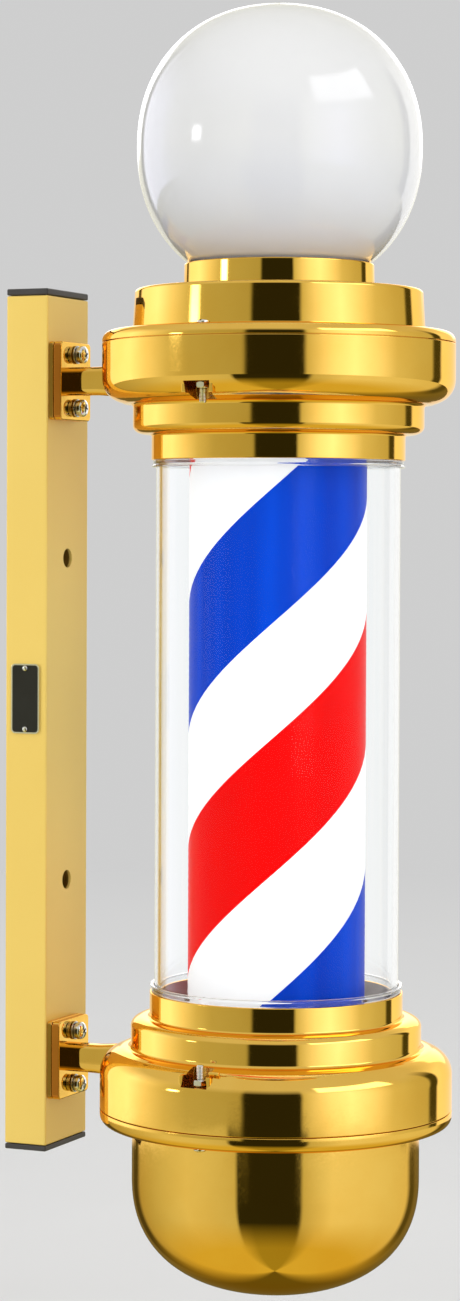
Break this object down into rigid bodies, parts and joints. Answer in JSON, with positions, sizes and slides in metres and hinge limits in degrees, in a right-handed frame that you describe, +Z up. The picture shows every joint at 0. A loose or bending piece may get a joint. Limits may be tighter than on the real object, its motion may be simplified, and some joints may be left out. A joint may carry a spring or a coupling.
{
  "type": "barber pole light",
  "caption": "Wall-mounted barber pole light: a striped drum turns inside a clear tube between mirror-gold housings, with an opal globe on top and a dome below.",
  "frame": {"origin": "centre of the wall rail's back face, on the wall", "axes": "+Z up along the pole, +Y into the wall, so the light stands out towards -Y"},
  "size_m": [0.188, 0.247, 0.6835],
  "materials": {
    "painted_gold": "satin gold paint",
    "gold_plated_plastic": "mirror gold plating on moulded plastic",
    "gold_plated_steel": "mirror gold plating on steel",
    "black_plastic": "satin black plastic",
    "badge_black": "gloss black with a bright border, no lettering",
    "chrome": "polished",
    "zinc_steel": "bright zinc plate",
    "opal": "glossy opal white",
    "clear_acrylic": "clear, glossy",
    "drum_film": "white film with blue and red spiral stripes",
    "white_plastic": "moulded white",
    "led_board": "white circuit board",
    "aluminium": "extruded",
    "rubber": "matt"
  },
  "bodies": {
    "body": {"wall_rail": "painted_gold", "rail_top_cap": "black_plastic", "rail_bottom_cap": "black_plastic", "badge_plate": "badge_black", "badge_rivet_top": "chrome", "badge_rivet_bottom": "chrome", "top_cover": "gold_plated_plastic", "bottom_dome": "gold_plated_plastic", "cable_grommet": "rubber", "globe": "opal", "lamp_plate": "zinc_steel", "motor_plate": "zinc_steel", "lamp_holder": "white_plastic", "globe_bulb": "white_plastic", "clear_tube": "clear_acrylic", "guide_bush": "white_plastic", "led_mast": "aluminium", "led_strip_left": "led_board", "led_strip_right": "led_board", "gear_motor": "zinc_steel", "led_driver": "white_plastic", "upper_bracket_back_plate": "gold_plated_steel", "upper_bracket_arm": "gold_plated_steel", "upper_nut_plate": "zinc_steel", "upper_arm_set_screw": "zinc_steel", "upper_arm_nut": "zinc_steel", "upper_housing": "gold_plated_plastic", "upper_tube_seal": "clear_acrylic", "upper_bracket_top_bolt": "chrome", "upper_bracket_top_flat_washer": "zinc_steel", "upper_bracket_top_spring_washer": "zinc_steel", "upper_bracket_bottom_bolt": "chrome", "upper_bracket_bottom_flat_washer": "zinc_steel", "upper_bracket_bottom_spring_washer": "zinc_steel", "upper_cover_left_screw": "chrome", "upper_cover_left_nut": "chrome", "upper_cover_right_screw": "chrome", "upper_cover_right_nut": "chrome", "lower_bracket_back_plate": "gold_plated_steel", "lower_bracket_arm": "gold_plated_steel", "lower_nut_plate": "zinc_steel", "lower_arm_set_screw": "zinc_steel", "lower_arm_nut": "zinc_steel", "lower_housing": "gold_plated_plastic", "lower_tube_seal": "clear_acrylic", "lower_bracket_top_bolt": "chrome", "lower_bracket_top_flat_washer": "zinc_steel", "lower_bracket_top_spring_washer": "zinc_steel", "lower_bracket_bottom_bolt": "chrome", "lower_bracket_bottom_flat_washer": "zinc_steel", "lower_bracket_bottom_spring_washer": "zinc_steel", "lower_cover_left_screw": "chrome", "lower_cover_left_nut": "chrome", "lower_cover_right_screw": "chrome", "lower_cover_right_nut": "chrome"},
    "drum": {"drum_shell": "drum_film", "drum_hub": "white_plastic", "drum_top_ring": "white_plastic", "motor_shaft": "chrome"}
  },
  "joints": [
    {"name": "drum_spin", "type": "hinge", "parent": "body", "child": "drum", "pos_m": [-0.006, -0.153, 0], "axis": [0, 0, 1], "continuous": true}
  ]
}
